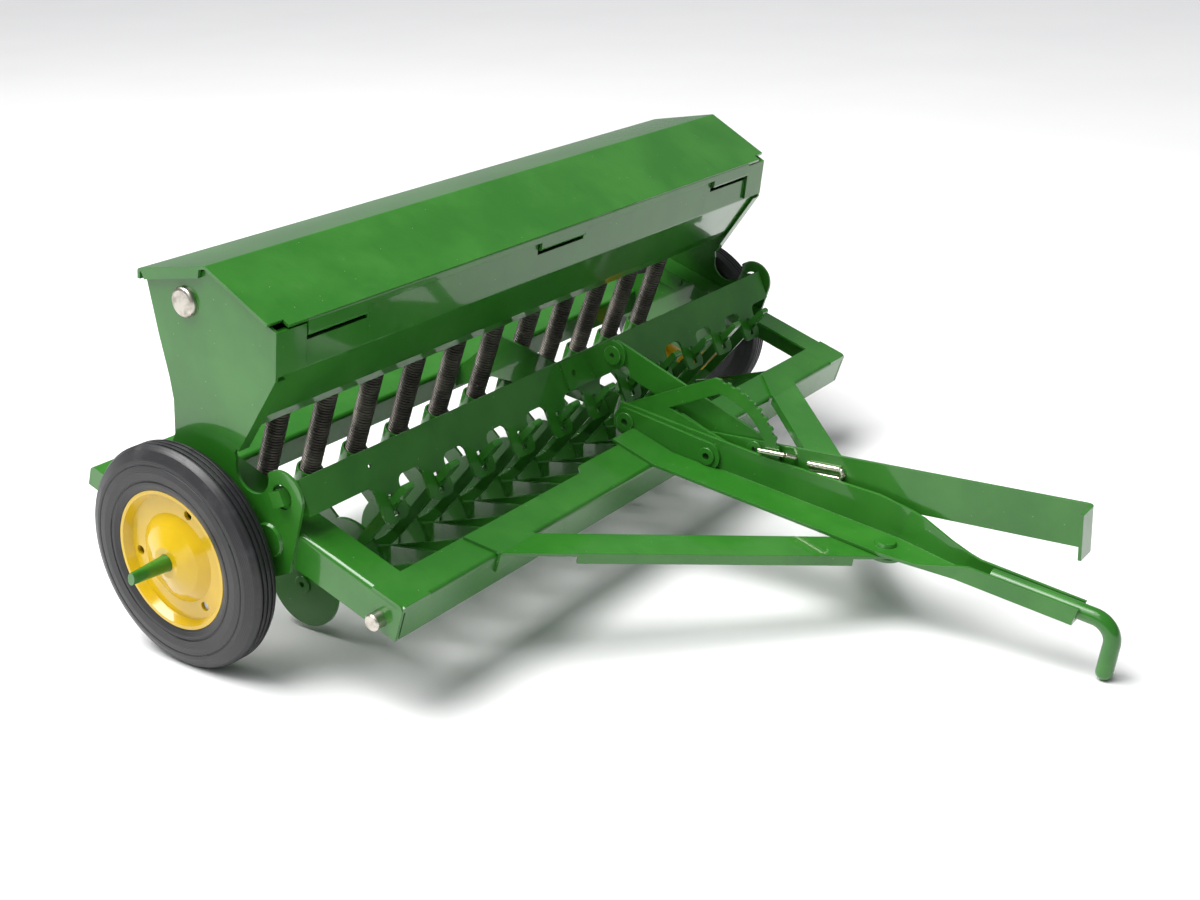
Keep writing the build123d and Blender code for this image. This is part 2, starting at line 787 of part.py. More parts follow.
tyre_middle = (tyre_in + tyre_out) / 2
tyre_half = tyre_width / 2
with BuildPart() as tyre_left:
    with BuildSketch(front(0)):
        profile = [(tyre_half - 0.9, rim_radius), (tyre_half - 0.25, 21.0), (tyre_half, 24.4)]
        profile += [(tyre_half - 0.35, 27.6), (tyre_half - 1.5, 30.1), (tyre_half - 3.0, tyre_radius)]
        with BuildLine():
            outline = [(-tyre_middle - x, r) for x, r in profile]
            outline += [(-tyre_middle + x, r) for x, r in reversed(profile)]
            FilletPolyline(*outline, radius=0.5, close=True)
        make_face()
        with Locations(*[(-tyre_middle + dx, tyre_radius) for dx in (-1.5, 0.0, 1.5)]):
            Rectangle(0.6, 1.2, mode=Mode.SUBTRACT)
        for r in (22.0, 26.4, 28.2):
            with Locations((-tyre_middle - tyre_half + 0.12 * abs(r - 24.4) * 0.6, r)):
                Circle(0.28, mode=Mode.SUBTRACT)
    revolve(axis=axle_line)
keep("tyre_left", tyre_left.part)
keep("tyre_right", mirrored(tyre_left.part))

# ---------------------------------------------------------------------------
# Hand lever with its latch wire, the link, and the eyelets they turn on
# ---------------------------------------------------------------------------
lever_run = back * cos(radians(lever_angle)) + up * sin(radians(lever_angle))
lever_rise = across.cross(lever_run) * -1
lever_origin = point(0, *lever_pivot)


def lever_face(x):
    """The lever's own plane: its x runs along the lever from the pivot, its y square to it."""
    return Plane(origin=lever_origin + across * x, x_dir=lever_run, z_dir=across)


def on_lever(run, rise, x):
    """A point beside the lever: along it, above its middle line, and across."""
    return lever_origin + lever_run * run + lever_rise * rise + across * x


latch_rise = 4.6
latch_hole = (27.6, 3.6)
loop_start = 32.0
loop_end = 43.0
loop_high = 2.6
loop_low = -0.2

with BuildPart() as hand_lever:
    with BuildSketch(lever_face(lever_in)):
        with Locations(((lever_length - 5) / 2, 0)):
            Rectangle(lever_length - 5, lever_width)
        Circle(lever_width / 2)
        Circle(eyelet_shank + running, mode=Mode.SUBTRACT)
    extrude(amount=gauge)
    grip_plane = Plane(origin=lever_origin, x_dir=lever_run, z_dir=lever_run.cross(across))
    grip_line = [(lever_length - 15, lever_in), (lever_length, lever_in)]
    grip_line += [(lever_length, lever_in - grip_length)]
    grip_sheet = sheet(grip_plane, grip_line, Side.LEFT, 1.2)
    extrude(grip_sheet, amount=lever_width / 2, both=True)
    with BuildSketch(section(lever_in)):
        with Locations(lever_pin):
            Circle(pin_shank)
    extrude(amount=gauge, mode=Mode.SUBTRACT)
    with BuildSketch(Plane(origin=on_lever(0, 0, lever_in), x_dir=lever_run, z_dir=-across)):
        with Locations(latch_hole, (loop_start, loop_high), (loop_start, loop_low)):
            Circle(latch_wire_radius)
    extrude(amount=-gauge, mode=Mode.SUBTRACT)
keep("hand_lever", hand_lever.part)

wire_near = stay_in - 0.1
wire_face = lever_in - latch_wire_radius
wire_back = lever_out + latch_wire_radius
with BuildPart() as latch_wire:
    with BuildLine() as wire_line:
        Polyline(
            on_lever(17.0, latch_rise, wire_near),
            on_lever(latch_hole[0] - 2.0, latch_rise, wire_near),
            on_lever(*latch_hole, wire_face),
            on_lever(*latch_hole, wire_back),
            on_lever(loop_start, loop_high, wire_back),
            on_lever(loop_start, loop_high, wire_face),
            on_lever(loop_end - 1.0, loop_high, wire_face),
            on_lever(loop_end, (loop_high + loop_low) / 2, wire_face),
            on_lever(loop_end - 1.0, loop_low, wire_face),
            on_lever(loop_start, loop_low, wire_face),
            on_lever(loop_start, loop_low, wire_back),
        )
    with BuildSketch(Plane(origin=wire_line.line @ 0, z_dir=wire_line.line % 0)):
        Circle(latch_wire_radius)
    sweep(transition=Transition.ROUND)
keep("latch_wire", latch_wire.part)

play = 0.1
keep("lever_eyelet", eyelet(lever_pivot, stay_in - gauge, lever_out + play, 2.7, 3.0, eyelet_shank, 1.1))
stay_far = quadrant_out + gauge
keep("stay_eyelet", eyelet(stay_rear, stay_in - gauge, stay_far, 3.0, 2.8, eyelet_shank, 1.1))
with BuildPart() as lever_washer:
    with BuildSketch(section(quadrant_out)):
        with Locations(lever_pivot):
            Circle(4.0)
            Circle(eyelet_shank, mode=Mode.SUBTRACT)
    extrude(amount=lever_in - quadrant_out - play)
keep("lever_washer", lever_washer.part)

with BuildPart() as lift_link:
    link_bores = ((lever_pin, pin_shank + running), (link_rear, pin_shank))
    extrude(strip(section(link_in), lever_pin, link_rear, 8.4, link_bores), amount=gauge)
keep("lift_link", lift_link.part)
keep("lever_pin", eyelet(lever_pin, lever_in, link_out + play, 2.5, 2.4, pin_shank, 0.8))
keep("link_eyelet", eyelet(link_rear, lever_in - gap, link_out, 3.0, 2.6, pin_shank, 0.8))

# ---------------------------------------------------------------------------
# Lift plate: a strip with a slotted tab for each opener, turning on square ends
# ---------------------------------------------------------------------------
lift_middle = ((lift_top[0] + lift_bottom[0]) / 2, (lift_top[1] + lift_bottom[1]) / 2)
lift_width = hypot(lift_top[0] - lift_bottom[0], lift_top[1] - lift_bottom[1])
lift_run = (back * (lift_top[0] - lift_bottom[0]) + up * (lift_top[1] - lift_bottom[1])).normalized()
lift_normal = across.cross(lift_run)
lift_face = Plane(origin=point(0, *lift_middle), x_dir=across, z_dir=lift_normal)
lift_turn = degrees(atan2(lift_top[1] - lift_bottom[1], lift_top[0] - lift_bottom[0]))
tab_root = -lift_width / 2
end_square = 4.2
shaft_reach = 2.0

with BuildPart() as lift_plate:
    with BuildSketch(lift_face) as plate_outline:
        Rectangle(2 * lift_half, lift_width)
        with Locations(*[(x + tab_shift, tab_root - tab_length / 2 + 2) for x in openers]):
            RectangleRounded(tab_width, tab_length + 4, 2.2)
        roots = [v for v in plate_outline.vertices() if abs(v.Y - tab_root) < 0.01]
        fillet([v for v in roots if abs(v.X) < lift_half - 1], 2.4)
        with Locations(*[(x + tab_shift, tab_root - slot_place) for x in openers]):
            Rectangle(slot_width, slot_length, mode=Mode.SUBTRACT)
        with Locations((-lift_half + 24.0, 0.5)):
            Circle(0.6, mode=Mode.SUBTRACT)
    extrude(amount=gauge / 2, both=True)
    for side in (-1, 1):
        ear = Plane(origin=point(side * lift_half, 0, 0), x_dir=back, z_dir=across)
        with BuildSketch(ear):
            with BuildLine():
                Polyline(
                    lift_top,
                    lift_bottom,
                    (lift_pivot[0] - 0.6, lift_pivot[1] - 3.2),
                    (lift_pivot[0] + 3.1, lift_pivot[1] + 0.6),
                    close=True,
                )
            make_face()
            with Locations(lift_pivot):
                Circle(3.2)
        extrude(amount=-side * gauge)
        with BuildSketch(ear):
            with Locations(lift_pivot):
                Rectangle(end_square, end_square, rotation=lift_turn)
        extrude(amount=side * (panel_out + shaft_reach - lift_half))
keep("lift_plate", lift_plate.part)

with BuildPart() as lift_bracket:
    foot_width = 14.0
    with BuildSketch(lift_face.offset(gauge / 2)):
        with Locations((lever_out - foot_width / 2, 0)):
            RectangleRounded(foot_width, lift_width - 0.6, 1.0)
        with Locations((lever_out - foot_width + 4.2, 0)):
            Circle(1.0, mode=Mode.SUBTRACT)
    extrude(amount=gauge)
    with BuildSketch(section(lever_in)):
        with BuildLine():
            Polyline(
                along(lift_middle, lift_top, lift_width / 2 - 0.4, gauge / 2),
                along(lift_middle, lift_top, 0.4 - lift_width / 2, gauge / 2),
                (link_rear[0] - 3.0, link_rear[1] - 3.0),
                (link_rear[0] + 3.0, link_rear[1] + 3.0),
                close=True,
            )
        make_face()
        with Locations(link_rear):
            Circle(4.2)
            Circle(pin_shank + 0.45, mode=Mode.SUBTRACT)
    extrude(amount=gauge)
keep("lift_bracket", lift_bracket.part)

# ---------------------------------------------------------------------------
# Openers: drag arm, disc, boot, lift strap and eyelet, all hung on the pivot rod
# ---------------------------------------------------------------------------
arm_width = 7.2
arm_apex = hub_point[0] - 9.5
disc_gauge = 1.1
boot_bore = tube_radius + gap
boot_top = 6.0
strap_start = along(lift_middle, lift_bottom, lift_width / 2 + slot_place)
strap_knee = (-24.5, -3.0)
strap_run = hypot(strap_start[0] - strap_knee[0], strap_start[1] - strap_knee[1])
strap_end = along(strap_knee, strap_start, strap_run + 2.4)
head_start = 1.8
head_length = 7.6
head_thick = 2.0
arm_bores = ((rod_point, wire_radius + running), (hub_point, pin_shank))
arm_side = strip(section(-150), rod_point, hub_point, arm_width, arm_bores)


def drag_arm(x):
    """Two legs on edge, together at the hub and spread to either side on the pivot rod."""
    with BuildPart() as arm:
        for turn, hand in ((1, Side.RIGHT), (-1, Side.LEFT)):
            with BuildPart(mode=Mode.PRIVATE) as leg:
                path = [
                    (x, hub_point[0] + arm_width / 2 + 1),
                    (x, arm_apex),
                    (x + turn * (leg_spread - gauge), rod_point[0] + 5.0),
                    (x + turn * (leg_spread - gauge), rod_point[0] - arm_width / 2 - 1),
                ]
                extrude(sheet(level(-60), path, hand, 1.4), amount=160)
                extrude(arm_side, amount=300, mode=Mode.INTERSECT)
            add(leg.part)
    return arm.part


for k, x in enumerate(openers):
    keep(f"drag_arm_{k + 1}", drag_arm(x))

with BuildPart() as opener_discs:
    for x in openers:
        with BuildSketch(section(x - gauge - disc_gauge)):
            with Locations(hub_point):
                Circle(disc_radius)
                Circle(pin_shank, mode=Mode.SUBTRACT)
        extrude(amount=disc_gauge)
keep("opener_discs", opener_discs.part)

tube_axis = (back * (tube_top[0] - tube_foot[0]) + up * (tube_top[1] - tube_foot[1])).normalized()


def tube_place(x, z):
    """The plane square to a seed tube at a height on its centre line."""
    y = tube_foot[0] + tube_lean * (z - tube_foot[1])
    return Plane(origin=point(x, y, z), x_dir=across, z_dir=tube_axis)


with BuildPart() as opener_boots:
    for x in openers:
        with BuildPart(mode=Mode.PRIVATE) as boot:
            stem = strip(section(x + gauge), hub_point, tube_foot, 6.0, ((hub_point, pin_shank),))
            extrude(stem, amount=gauge)
            with BuildSketch(tube_place(x, boot_top)):
                Circle(boot_radius)
            extrude(amount=-boot_length - 3.0)
            with BuildSketch(tube_place(x, boot_top)):
                Circle(boot_bore)
            extrude(amount=-boot_length - 3.0, mode=Mode.SUBTRACT)
        add(boot.part)
keep("opener_boots", opener_boots.part)

with BuildPart() as lift_straps:
    for x in openers:
        with BuildPart(mode=Mode.PRIVATE) as strap:
            with BuildSketch(section(-150)):
                add(strip(Plane.XY, strap_end, strap_knee, strap_width))
                add(strip(Plane.XY, strap_knee, hub_point, strap_width))
                with Locations(hub_point):
                    Circle(arm_width / 2 - 0.6)
                    Circle(pin_shank, mode=Mode.SUBTRACT)
            extrude(amount=300)
            face = x + tab_shift - gauge / 2
            foot = x + 2 * gauge
            joggle = sheet(front(-100), [(face, 60), (face, 0), (foot, -6.5), (foot, -30)], Side.LEFT, 1.5)
            extrude(joggle, amount=-200, mode=Mode.INTERSECT)
            head_foot = along(strap_start, strap_end, head_start + head_thick / 2)
            head_tip = along(strap_start, strap_end, head_start + head_length - head_thick / 2)
            head_side = section(x + tab_shift - strap_head / 2)
            extrude(strip(head_side, head_foot, head_tip, head_thick), amount=strap_head)
        add(strap.part)
keep("lift_straps", lift_straps.part)

with BuildPart() as opener_eyelets:
    for x in openers:
        hub_near = x - gauge - disc_gauge
        add(eyelet(hub_point, hub_near, x + 3 * gauge, 2.6, 2.4, pin_shank, 0.8))
keep("opener_eyelets", opener_eyelets.part)

with BuildPart() as seed_tubes:
    tube_run = tube_top[1] - tube_foot[1]
    for x in openers:
        with BuildSketch(tube_place(x, tube_foot[1])):
            Circle(tube_radius)
            Circle(tube_bore, mode=Mode.SUBTRACT)
        extrude(amount=tube_run)
keep("seed_tubes", seed_tubes.part)

for name, part in pieces.items():
    export_step(part, f"parts/{name}.step")
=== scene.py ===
# %% [markdown]
# A toy grain drill in pressed steel. The frame comes first: every sheet, rivet, wheel and lever is a
# CAD node already in its place, riding on the body that it moves with. What is left to do here is the
# finish of each piece, the coiled seed tubes, and the light that a glossy enamel needs.

# %% Load the frame
import json
import math
import bpy
from mathutils import Matrix, Vector


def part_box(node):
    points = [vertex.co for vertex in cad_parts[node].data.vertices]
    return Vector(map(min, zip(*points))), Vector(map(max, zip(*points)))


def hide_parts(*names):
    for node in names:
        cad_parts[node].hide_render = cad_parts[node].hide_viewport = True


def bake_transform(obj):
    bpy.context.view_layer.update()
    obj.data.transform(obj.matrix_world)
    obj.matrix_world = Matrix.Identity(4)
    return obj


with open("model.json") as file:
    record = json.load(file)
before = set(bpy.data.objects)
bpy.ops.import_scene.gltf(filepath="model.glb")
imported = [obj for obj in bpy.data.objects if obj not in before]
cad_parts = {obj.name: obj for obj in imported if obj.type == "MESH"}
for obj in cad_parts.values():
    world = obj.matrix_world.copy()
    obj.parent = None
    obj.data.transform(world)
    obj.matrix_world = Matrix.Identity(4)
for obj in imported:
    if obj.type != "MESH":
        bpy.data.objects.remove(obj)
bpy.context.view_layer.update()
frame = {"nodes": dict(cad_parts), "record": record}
nodes = frame["nodes"]
MM = 0.001

# %% [markdown]
# Every finish below is a small sum of masks: where the tone shifts, where dust lies, how rough the
# paint is. Wiring those sums by hand is long, so one class wraps a node's socket and overloads the
# arithmetic operators. An expression on two sockets adds its Math nodes; plain numbers stay numbers.


# %% A socket that can be added, scaled and compared
class Field:
    """A number that changes over the surface: the output socket of a shader node."""

    def __init__(self, finish, socket):
        self.finish = finish
        self.socket = socket

    def _with(self, operation, a, b):
        return self.finish.node("ShaderNodeMath", {"operation": operation}, {0: a, 1: b})

    def __add__(self, other):
        return self._with("ADD", self, other)

    def __radd__(self, other):
        return self._with("ADD", other, self)

    def __rsub__(self, other):
        return self._with("SUBTRACT", other, self)

    def __mul__(self, other):
        return self._with("MULTIPLY", self, other)

    def above(self, low, high):
        """0 below low, 1 above high, and a smooth rise between."""
        settings = {"interpolation_type": "SMOOTHSTEP"}
        return self.finish.node("ShaderNodeMapRange", settings, {0: self, 1: low, 2: high, 3: 0.0, 4: 1.0})


class Finish:
    """One material: a Principled shader and the nodes that drive it."""

    def __init__(self, name):
        self.material = bpy.data.materials.new(name)
        self.material.use_nodes = True
        self.tree = self.material.node_tree
        self.tree.nodes.clear()
        self.output = self.tree.nodes.new("ShaderNodeOutputMaterial")
        self.shader = self.tree.nodes.new("ShaderNodeBsdfPrincipled")
        self.tree.links.new(self.shader.outputs[0], self.output.inputs[0])
        place = self.tree.nodes.new("ShaderNodeTexCoord")
        self.place = Field(self, place.outputs["Object"])

    def node(self, kind, settings=None, values=None, out=0):
        """Any node: its settings first, then the values or links of its sockets, and one output."""
        made = self.tree.nodes.new(kind)
        for key, value in (settings or {}).items():
            setattr(made, key, value)
        for key, value in (values or {}).items():
            self.feed(made.inputs[key], value)
        return Field(self, made.outputs[out])

    def feed(self, socket, value):
        """Links a field to a socket, or sets the socket's own value."""
        if isinstance(value, Field):
            self.tree.links.new(value.socket, socket)
        else:
            socket.default_value = value

    def set(self, **values):
        """Sets the shader's own sockets by name, with _ for a space."""
        for key, value in values.items():
            self.feed(self.shader.inputs[key.replace("_", " ")], value)

    def noise(self, size, detail=3.0, rough=0.55, stretch=None):
        """Noise whose features are about size metres across, from 0 to 1."""
        where = self.place
        if stretch:
            where = self.node("ShaderNodeMapping", {}, {"Vector": where, "Scale": stretch})
        values = {"Vector": where, "Scale": 1 / size, "Detail": detail, "Roughness": rough}
        return self.node("ShaderNodeTexNoise", {}, values)

    def specks(self, size, cover):
        """Small round specks on a share of a grid of cells of that size."""
        cell = {"Vector": self.place, "Scale": 1 / size, "Randomness": 1.0}
        reach = self.node("ShaderNodeTexVoronoi", {}, cell, "Distance")
        return 1.0 - reach.above(cover * 0.5, cover)

    def mix(self, share, first, second):
        """Colour mixed from first to second as share goes from 0 to 1."""
        values = {"Factor": share, 6: first, 7: second}
        return self.node("ShaderNodeMix", {"data_type": "RGBA"}, values, 2)

    def bump(self, height, depth, rounded=None):
        """A normal from a height field; depth is in metres. Edges can be rounded by a radius in metres."""
        values = {"Height": height, "Distance": depth, "Strength": 1.0}
        if rounded:
            values["Normal"] = self.node("ShaderNodeBevel", {"samples": 4}, {"Radius": rounded})
        return self.node("ShaderNodeBump", {}, values)


def colour(r, g, b):
    """A linear colour with full alpha."""
    return (r, g, b, 1.0)


print("shader helpers ready")

# %% [markdown]
# The enamel. A toy like this is dipped or sprayed once in a thick glossy green. The coat flows, so it
# has a slight orange peel and rounds every sheared edge, and it holds a little dust. A Principled
# shader with a moderately rough base under a smooth clear coat gives the soft colour and the sharp
# reflection together. The peel is a very fine bump, far below what geometry could carry.


# %% Green enamel
def enamel(name, base, light, dark, peel=0.0012, dusty=0.5):
    """A glossy sprayed enamel with orange peel, rounded edges, faint blotches and dust specks."""
    paint = Finish(name)
    blotch = paint.noise(22 * MM, 4.0)
    streak = paint.noise(5 * MM, 3.0, stretch=(1.0, 0.35, 0.35))
    tint = paint.mix(blotch.above(0.35, 0.7), colour(*base), colour(*light))
    tint = paint.mix(streak.above(0.55, 0.85) * 0.35, tint, colour(*dark))
    dust = paint.specks(3.1 * MM, 0.045) * dusty
    fine_dust = paint.specks(1.3 * MM, 0.035) * (0.35 * dusty)
    film = paint.noise(9 * MM, 5.0).above(0.56, 0.8) * (0.10 * dusty)
    pale = colour(0.40, 0.50, 0.30)
    tint = paint.mix(dust + fine_dust + film * 0.3, tint, pale)
    rough = 0.26 + blotch * 0.10 + film * 0.8
    wave = paint.noise(peel, 1.5, 0.4) * 0.5 + paint.noise(6 * MM, 2.0) * 1.2
    paint.set(Base_Color=tint, Roughness=rough, Coat_Weight=0.85 - film * 2.0)
    paint.set(Metallic=0.0, IOR=1.5, Specular_IOR_Level=0.2, Coat_Roughness=0.06, Coat_IOR=1.5)
    paint.set(Normal=paint.bump(wave, 0.022 * MM, rounded=0.28 * MM))
    return paint.material


green = enamel("green_enamel", (0.020, 0.142, 0.011), (0.033, 0.178, 0.018), (0.010, 0.095, 0.005), dusty=0.9)
print("made", green.name)

# %% [markdown]
# The wheels are pressed discs in a warm yellow enamel, with a finer peel and less dust.


# %% Yellow enamel
yellow = enamel("yellow_enamel", (0.58, 0.37, 0.002), (0.66, 0.44, 0.004), (0.44, 0.26, 0.002), 0.0010, 0.35)
print("made", yellow.name)

# %% [markdown]
# Bare metal shows in a few places: the end of the pivot rod, the headed tie rod through the hopper, and
# the little latch wire on the lever. Plated steel that has dulled is a rough metal with a fine grain
# along it and grey-brown tarnish in patches.


# %% Dull plated steel
def dull_steel(name, tone, rough_low, tarnish_share):
    """Plated steel with drawn grain and tarnish."""
    steel = Finish(name)
    tarnish = steel.noise(3 * MM, 5.0).above(0.45, 0.75) * tarnish_share
    grain = steel.noise(0.25 * MM, 2.0, 0.5, stretch=(0.08, 1.0, 1.0))
    tint = steel.mix(tarnish, colour(*tone), colour(0.16, 0.13, 0.10))
    steel.set(Base_Color=tint, Metallic=1.0, Roughness=rough_low + grain * 0.12 + tarnish * 0.25)
    steel.set(Normal=steel.bump(grain, 0.01 * MM, rounded=0.2 * MM))
    return steel.material


plated = dull_steel("plated_steel", (0.56, 0.53, 0.47), 0.26, 0.6)
wire_steel = dull_steel("bright_wire", (0.72, 0.69, 0.58), 0.22, 0.25)
print("made", plated.name, wire_steel.name)

# %% [markdown]
# The tyres are solid rubber pushed onto the rims. New rubber is nearly black and satin; handled
# rubber is greyer in patches, with fine moulding lines around it and specks of dust. The
# grain follows circles about the axle, so the bump uses the distance from the axle's own line.


# %% Tyre rubber
def tyre_rubber(name):
    """Satin black rubber with turned moulding lines and grey scuffs."""
    rubber = Finish(name)
    low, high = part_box("tyre_left")
    centre_y = (low[1] + high[1]) / 2
    centre_z = (low[2] + high[2]) / 2
    moved = {"Vector": rubber.place, "Location": (0.0, -centre_y, -centre_z)}
    centred = rubber.node("ShaderNodeMapping", {}, moved)
    parts = rubber.tree.nodes.new("ShaderNodeSeparateXYZ")
    rubber.feed(parts.inputs[0], centred)
    y = Field(rubber, parts.outputs[1])
    z = Field(rubber, parts.outputs[2])
    radius = rubber.node("ShaderNodeMath", {"operation": "SQRT"}, {0: y * y + z * z})
    turns = rubber.node("ShaderNodeMath", {"operation": "SINE"}, {0: radius * (2 * math.pi / (0.42 * MM))})
    scuff = rubber.noise(7 * MM, 6.0, 0.65).above(0.5, 0.75)
    dust = rubber.specks(2.2 * MM, 0.05)
    tint = rubber.mix(scuff * 0.55, colour(0.016, 0.016, 0.018), colour(0.052, 0.053, 0.056))
    tint = rubber.mix(dust * 0.5, tint, colour(0.20, 0.20, 0.20))
    fine = rubber.noise(0.5 * MM, 3.0)
    rubber.set(Base_Color=tint, Roughness=0.38 + scuff * 0.2 + fine * 0.08, IOR=1.5)
    rubber.set(Normal=rubber.bump(turns * 0.35 + fine * 0.5, 0.04 * MM, rounded=0.3 * MM))
    return rubber.material


rubber = tyre_rubber("tyre_rubber")
print("made", rubber.name)

# %% [markdown]
# The seed tubes are close-wound coils of dark steel wire, each hung from a hole in the hopper floor
# and standing in the boot of its opener. The coil is the thing one sees, so it is real geometry: a
# helix swept with a round wire, made by Geometry Nodes from a Spiral curve, one for each opener,
# and set upright on the line from boot to hopper. Its sizes are named inputs of the tree. The result
# is turned into one plain mesh.

# %% Where the coils stand
openers = [n for n in nodes if n.startswith("drag_arm_")]
arm_centres = sorted((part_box(n)[0][0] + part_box(n)[1][0]) / 2 for n in openers)
tube_low, tube_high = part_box("seed_tubes")
tube_radius = (tube_high[0] - tube_low[0] - (arm_centres[-1] - arm_centres[0])) / 2
# the tube leans this far back over its height, measured along the machine's own tilted frame
tube_back, tube_rise = 1.6, 43.5
nose_down = math.radians(19.0)
lean = math.atan2(tube_back, tube_rise)
run = Vector((0.0, -math.sin(nose_down + lean), math.cos(nose_down + lean)))
square = Vector((0.0, run.z, -run.y))
foot = Vector((0.0, tube_high[1] - tube_radius * square.y, tube_low[2] + tube_radius * abs(square.z)))
head = Vector((0.0, tube_low[1] + tube_radius * square.y, tube_high[2] - tube_radius * abs(square.z)))
tube_length = (head - foot).length
print("coils", len(arm_centres), "radius", round(tube_radius, 5), "length", round(tube_length, 4))


# %% A material for dark oiled wire
def coil_wire(name):
    """Dark oiled steel wire, paler in patches."""
    wire = Finish(name)
    worn = wire.noise(9 * MM, 3.0).above(0.40, 0.7)
    tint = wire.mix(worn, colour(0.10, 0.088, 0.080), colour(0.22, 0.20, 0.175))
    wire.set(Base_Color=tint, Metallic=0.6, Roughness=0.34 + worn * 0.10)
    wire.set(Normal=wire.bump(wire.noise(0.4 * MM, 2.0), 0.01 * MM))
    return wire.material


coil_steel = coil_wire("dark_coil_wire")
print("made", coil_steel.name)


# %% The coil tree
def coil_tree(material):
    """Geometry Nodes: one close-wound coil, copied to each point of the mesh that it is given."""
    tree = bpy.data.node_groups.new("seed_coils", "GeometryNodeTree")
    face = tree.interface
    face.new_socket("Geometry", in_out="INPUT", socket_type="NodeSocketGeometry")
    for title in ("Coil radius", "Wire radius", "Length", "Turns"):
        face.new_socket(title, in_out="INPUT", socket_type="NodeSocketFloat")
    face.new_socket("Geometry", in_out="OUTPUT", socket_type="NodeSocketGeometry")
    make = tree.nodes.new
    join = tree.links.new
    given = make("NodeGroupInput")
    result = make("NodeGroupOutput")
    spiral = make("GeometryNodeCurveSpiral")
    spiral.inputs["Resolution"].default_value = 18
    join(given.outputs["Turns"], spiral.inputs["Rotations"])
    join(given.outputs["Coil radius"], spiral.inputs["Start Radius"])
    join(given.outputs["Coil radius"], spiral.inputs["End Radius"])
    join(given.outputs["Length"], spiral.inputs["Height"])
    ring = make("GeometryNodeCurvePrimitiveCircle")
    ring.inputs["Resolution"].default_value = 5
    join(given.outputs["Wire radius"], ring.inputs["Radius"])
    sweep = make("GeometryNodeCurveToMesh")
    sweep.inputs["Fill Caps"].default_value = True
    join(spiral.outputs["Curve"], sweep.inputs["Curve"])
    join(ring.outputs["Curve"], sweep.inputs["Profile Curve"])
    copies = make("GeometryNodeInstanceOnPoints")
    join(given.outputs["Geometry"], copies.inputs["Points"])
    join(sweep.outputs["Mesh"], copies.inputs["Instance"])
    copies.inputs["Rotation"].default_value = (nose_down + lean, 0.0, 0.0)
    solid = make("GeometryNodeRealizeInstances")
    join(copies.outputs["Instances"], solid.inputs["Geometry"])
    dress = make("GeometryNodeSetMaterial")
    dress.inputs["Material"].default_value = material
    join(solid.outputs["Geometry"], dress.inputs["Geometry"])
    join(dress.outputs["Geometry"], result.inputs["Geometry"])
    return tree


def applied(name, mesh, tree, values):
    """Runs a tree on a mesh and returns the result as a plain mesh object at the origin."""
    seed = bpy.data.objects.new(name + "_points", mesh)
    bpy.context.collection.objects.link(seed)
    modifier = seed.modifiers.new("make", "NODES")
    modifier.node_group = tree
    for item in tree.interface.items_tree:
        if item.item_type == "SOCKET" and item.in_out == "INPUT" and item.name in values:
            modifier[item.identifier] = values[item.name]
    graph = bpy.context.evaluated_depsgraph_get()
    made = bpy.data.meshes.new_from_object(seed.evaluated_get(graph))
    made.name = name
    piece = bpy.data.objects.new(name, made)
    bpy.context.collection.objects.link(piece)
    bpy.data.objects.remove(seed)
    return piece


# %% Wind the coils
wire_radius = 0.42 * MM
turn_gap = 0.06 * MM
pitch = 2 * wire_radius + turn_gap
turns = tube_length / pitch
points = bpy.data.meshes.new("coil_feet")
points.from_pydata([(x, foot.y, foot.z) for x in arm_centres], [], [])
sizes = {"Coil radius": tube_radius - wire_radius, "Wire radius": wire_radius}
sizes.update({"Length": tube_length, "Turns": turns})
coils = applied("seed_coils", points, coil_tree(coil_steel), sizes)
for polygon in coils.data.polygons:
    polygon.use_smooth = True
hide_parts("seed_tubes")
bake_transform(coils)
print("coil turns", round(turns), "triangles", sum(len(p.vertices) - 2 for p in coils.data.polygons))

# %% [markdown]
# Each CAD node now gets its finish. The record already says which finish a node has, so the script
# goes by those names, and only the latch wire is set apart as brighter than the other bare steel.

# %% Dress the CAD nodes
finishes = {
    "green_paint": green,
    "yellow_paint": yellow,
    "bare_steel": plated,
    "black_rubber": rubber,
    "dark_coil": coil_steel,
}
dressed = 0
for entry in frame["record"]["subparts"]:
    piece = nodes[entry["node"]]
    finish = finishes[entry["material_slot"]]
    if entry["node"] == "latch_wire":
        finish = wire_steel
    piece.data.materials.clear()
    piece.data.materials.append(finish)
    dressed += 1
print("dressed", dressed, "nodes")

# %% [markdown]
# The toy stands on a white sweep under large soft lights: pale floor, faint shadows, long soft
# reflections in the enamel. A very broad sun keeps the floor evenly white out to the horizon, one big
# light hangs overhead and behind, and a weak one stands at the left. The world is dim, so that the
# upright faces and the openers stay deep green.


# %% Floor and lights
def soft_floor():
    """A pale paper floor under the toy."""
    paper = Finish("paper_floor")
    mottle = paper.noise(0.12, 4.0)
    tint = paper.mix(mottle, colour(0.80, 0.80, 0.81), colour(0.85, 0.85, 0.855))
    paper.set(Base_Color=tint, Roughness=0.55)
    size = 20.0
    mesh = bpy.data.meshes.new("floor")
    corners = [(-size, -size, 0), (size, -size, 0), (size, size, 0), (-size, size, 0)]
    mesh.from_pydata(corners, [], [(0, 1, 2, 3)])
    mesh.materials.append(paper.material)
    floor = bpy.data.objects.new("floor", mesh)
    bpy.context.collection.objects.link(floor)


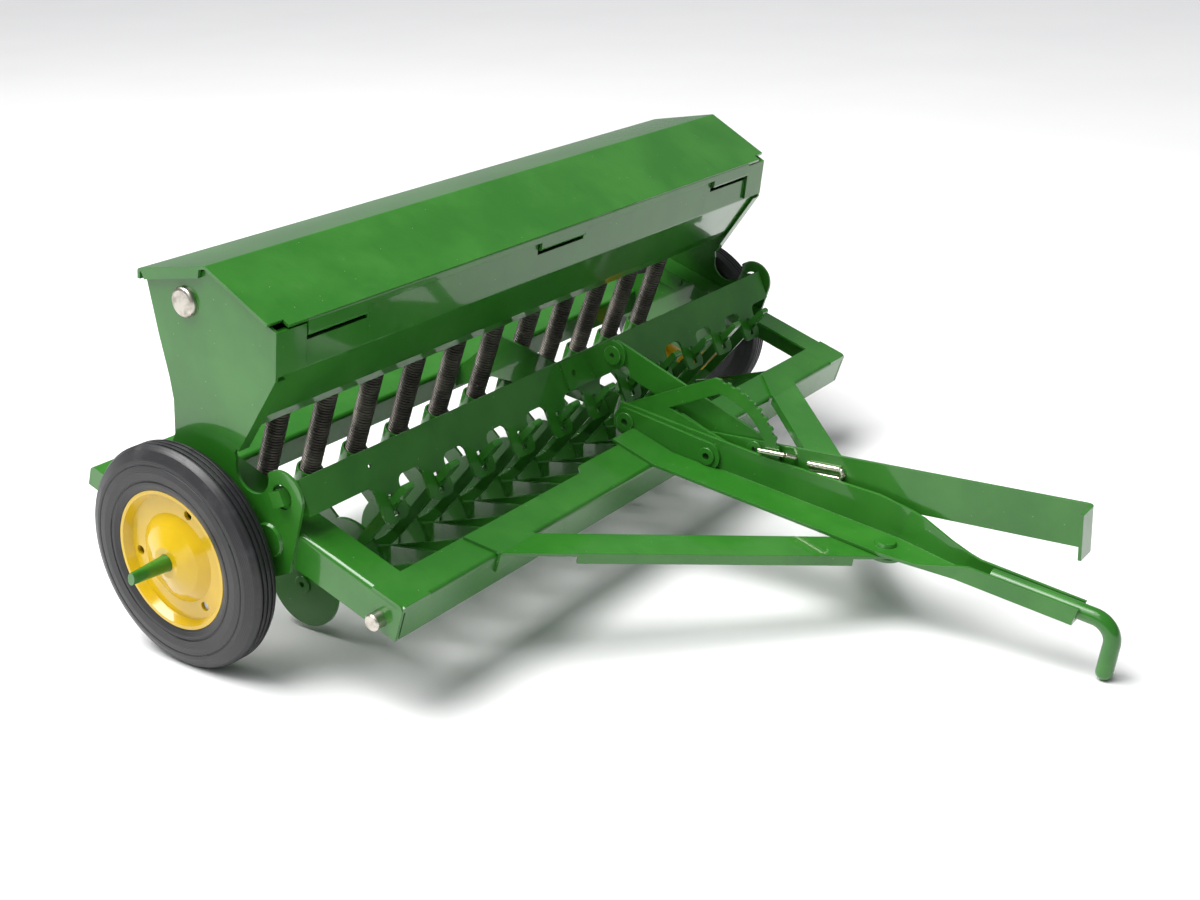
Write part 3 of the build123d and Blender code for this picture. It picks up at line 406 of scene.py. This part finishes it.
def softbox(name, place, target, width, height, watts, tone):
    """A rectangular soft light that looks at a point."""
    lamp = bpy.data.lights.new(name, "AREA")
    lamp.shape = "RECTANGLE"
    lamp.size = width
    lamp.size_y = height
    lamp.energy = watts
    lamp.color = tone
    light = bpy.data.objects.new(name, lamp)
    light.location = place
    light.rotation_euler = (Vector(target) - Vector(place)).to_track_quat("-Z", "Y").to_euler()
    bpy.context.collection.objects.link(light)


soft_floor()
softbox("overhead", (-0.25, 0.35, 0.95), (0.0, 0.0, 0.03), 0.8, 0.6, 13.0, (1.0, 0.99, 0.97))
softbox("left", (-0.95, -0.1, 0.75), (0.0, 0.0, 0.05), 0.5, 0.5, 1.2, (0.97, 0.99, 1.0))
sun = bpy.data.lights.new("sky", "SUN")
sun.energy = 2.3
sun.angle = math.radians(50)
sky = bpy.data.objects.new("sky", sun)
sky.rotation_euler = (math.radians(-12), math.radians(-20), 0.0)
bpy.context.collection.objects.link(sky)
world = bpy.data.worlds.new("studio")
bpy.context.scene.world = world
world.use_nodes = True
world.node_tree.nodes["Background"].inputs[0].default_value = (0.93, 0.95, 0.97, 1.0)
world.node_tree.nodes["Background"].inputs[1].default_value = 0.22

# %% [markdown]
# The camera stands in front and to the left, a little above, at arm's length. Its line of sight
# and its roll are given as a right-handed set of directions.

# %% Camera
eye = Vector((-0.3785, -0.2320, 0.2142))
forward = Vector((0.7567, 0.5392, -0.3697)).normalized()
right = Vector((0.5754, -0.8177, -0.0147)).normalized()
upward = right.cross(forward).normalized()
lens = bpy.data.cameras.new("camera")
lens.sensor_width = 36.0
lens.lens = 49.6
lens.clip_start = 0.01
lens.clip_end = 50.0
camera = bpy.data.objects.new("camera", lens)
camera.matrix_world = Matrix((
    (right.x, upward.x, -forward.x, eye.x),
    (right.y, upward.y, -forward.y, eye.y),
    (right.z, upward.z, -forward.z, eye.z),
    (0.0, 0.0, 0.0, 1.0),
))
bpy.context.collection.objects.link(camera)
bpy.context.scene.camera = camera
bpy.context.scene.view_settings.view_transform = "Standard"
print("camera at", tuple(round(v, 3) for v in eye))
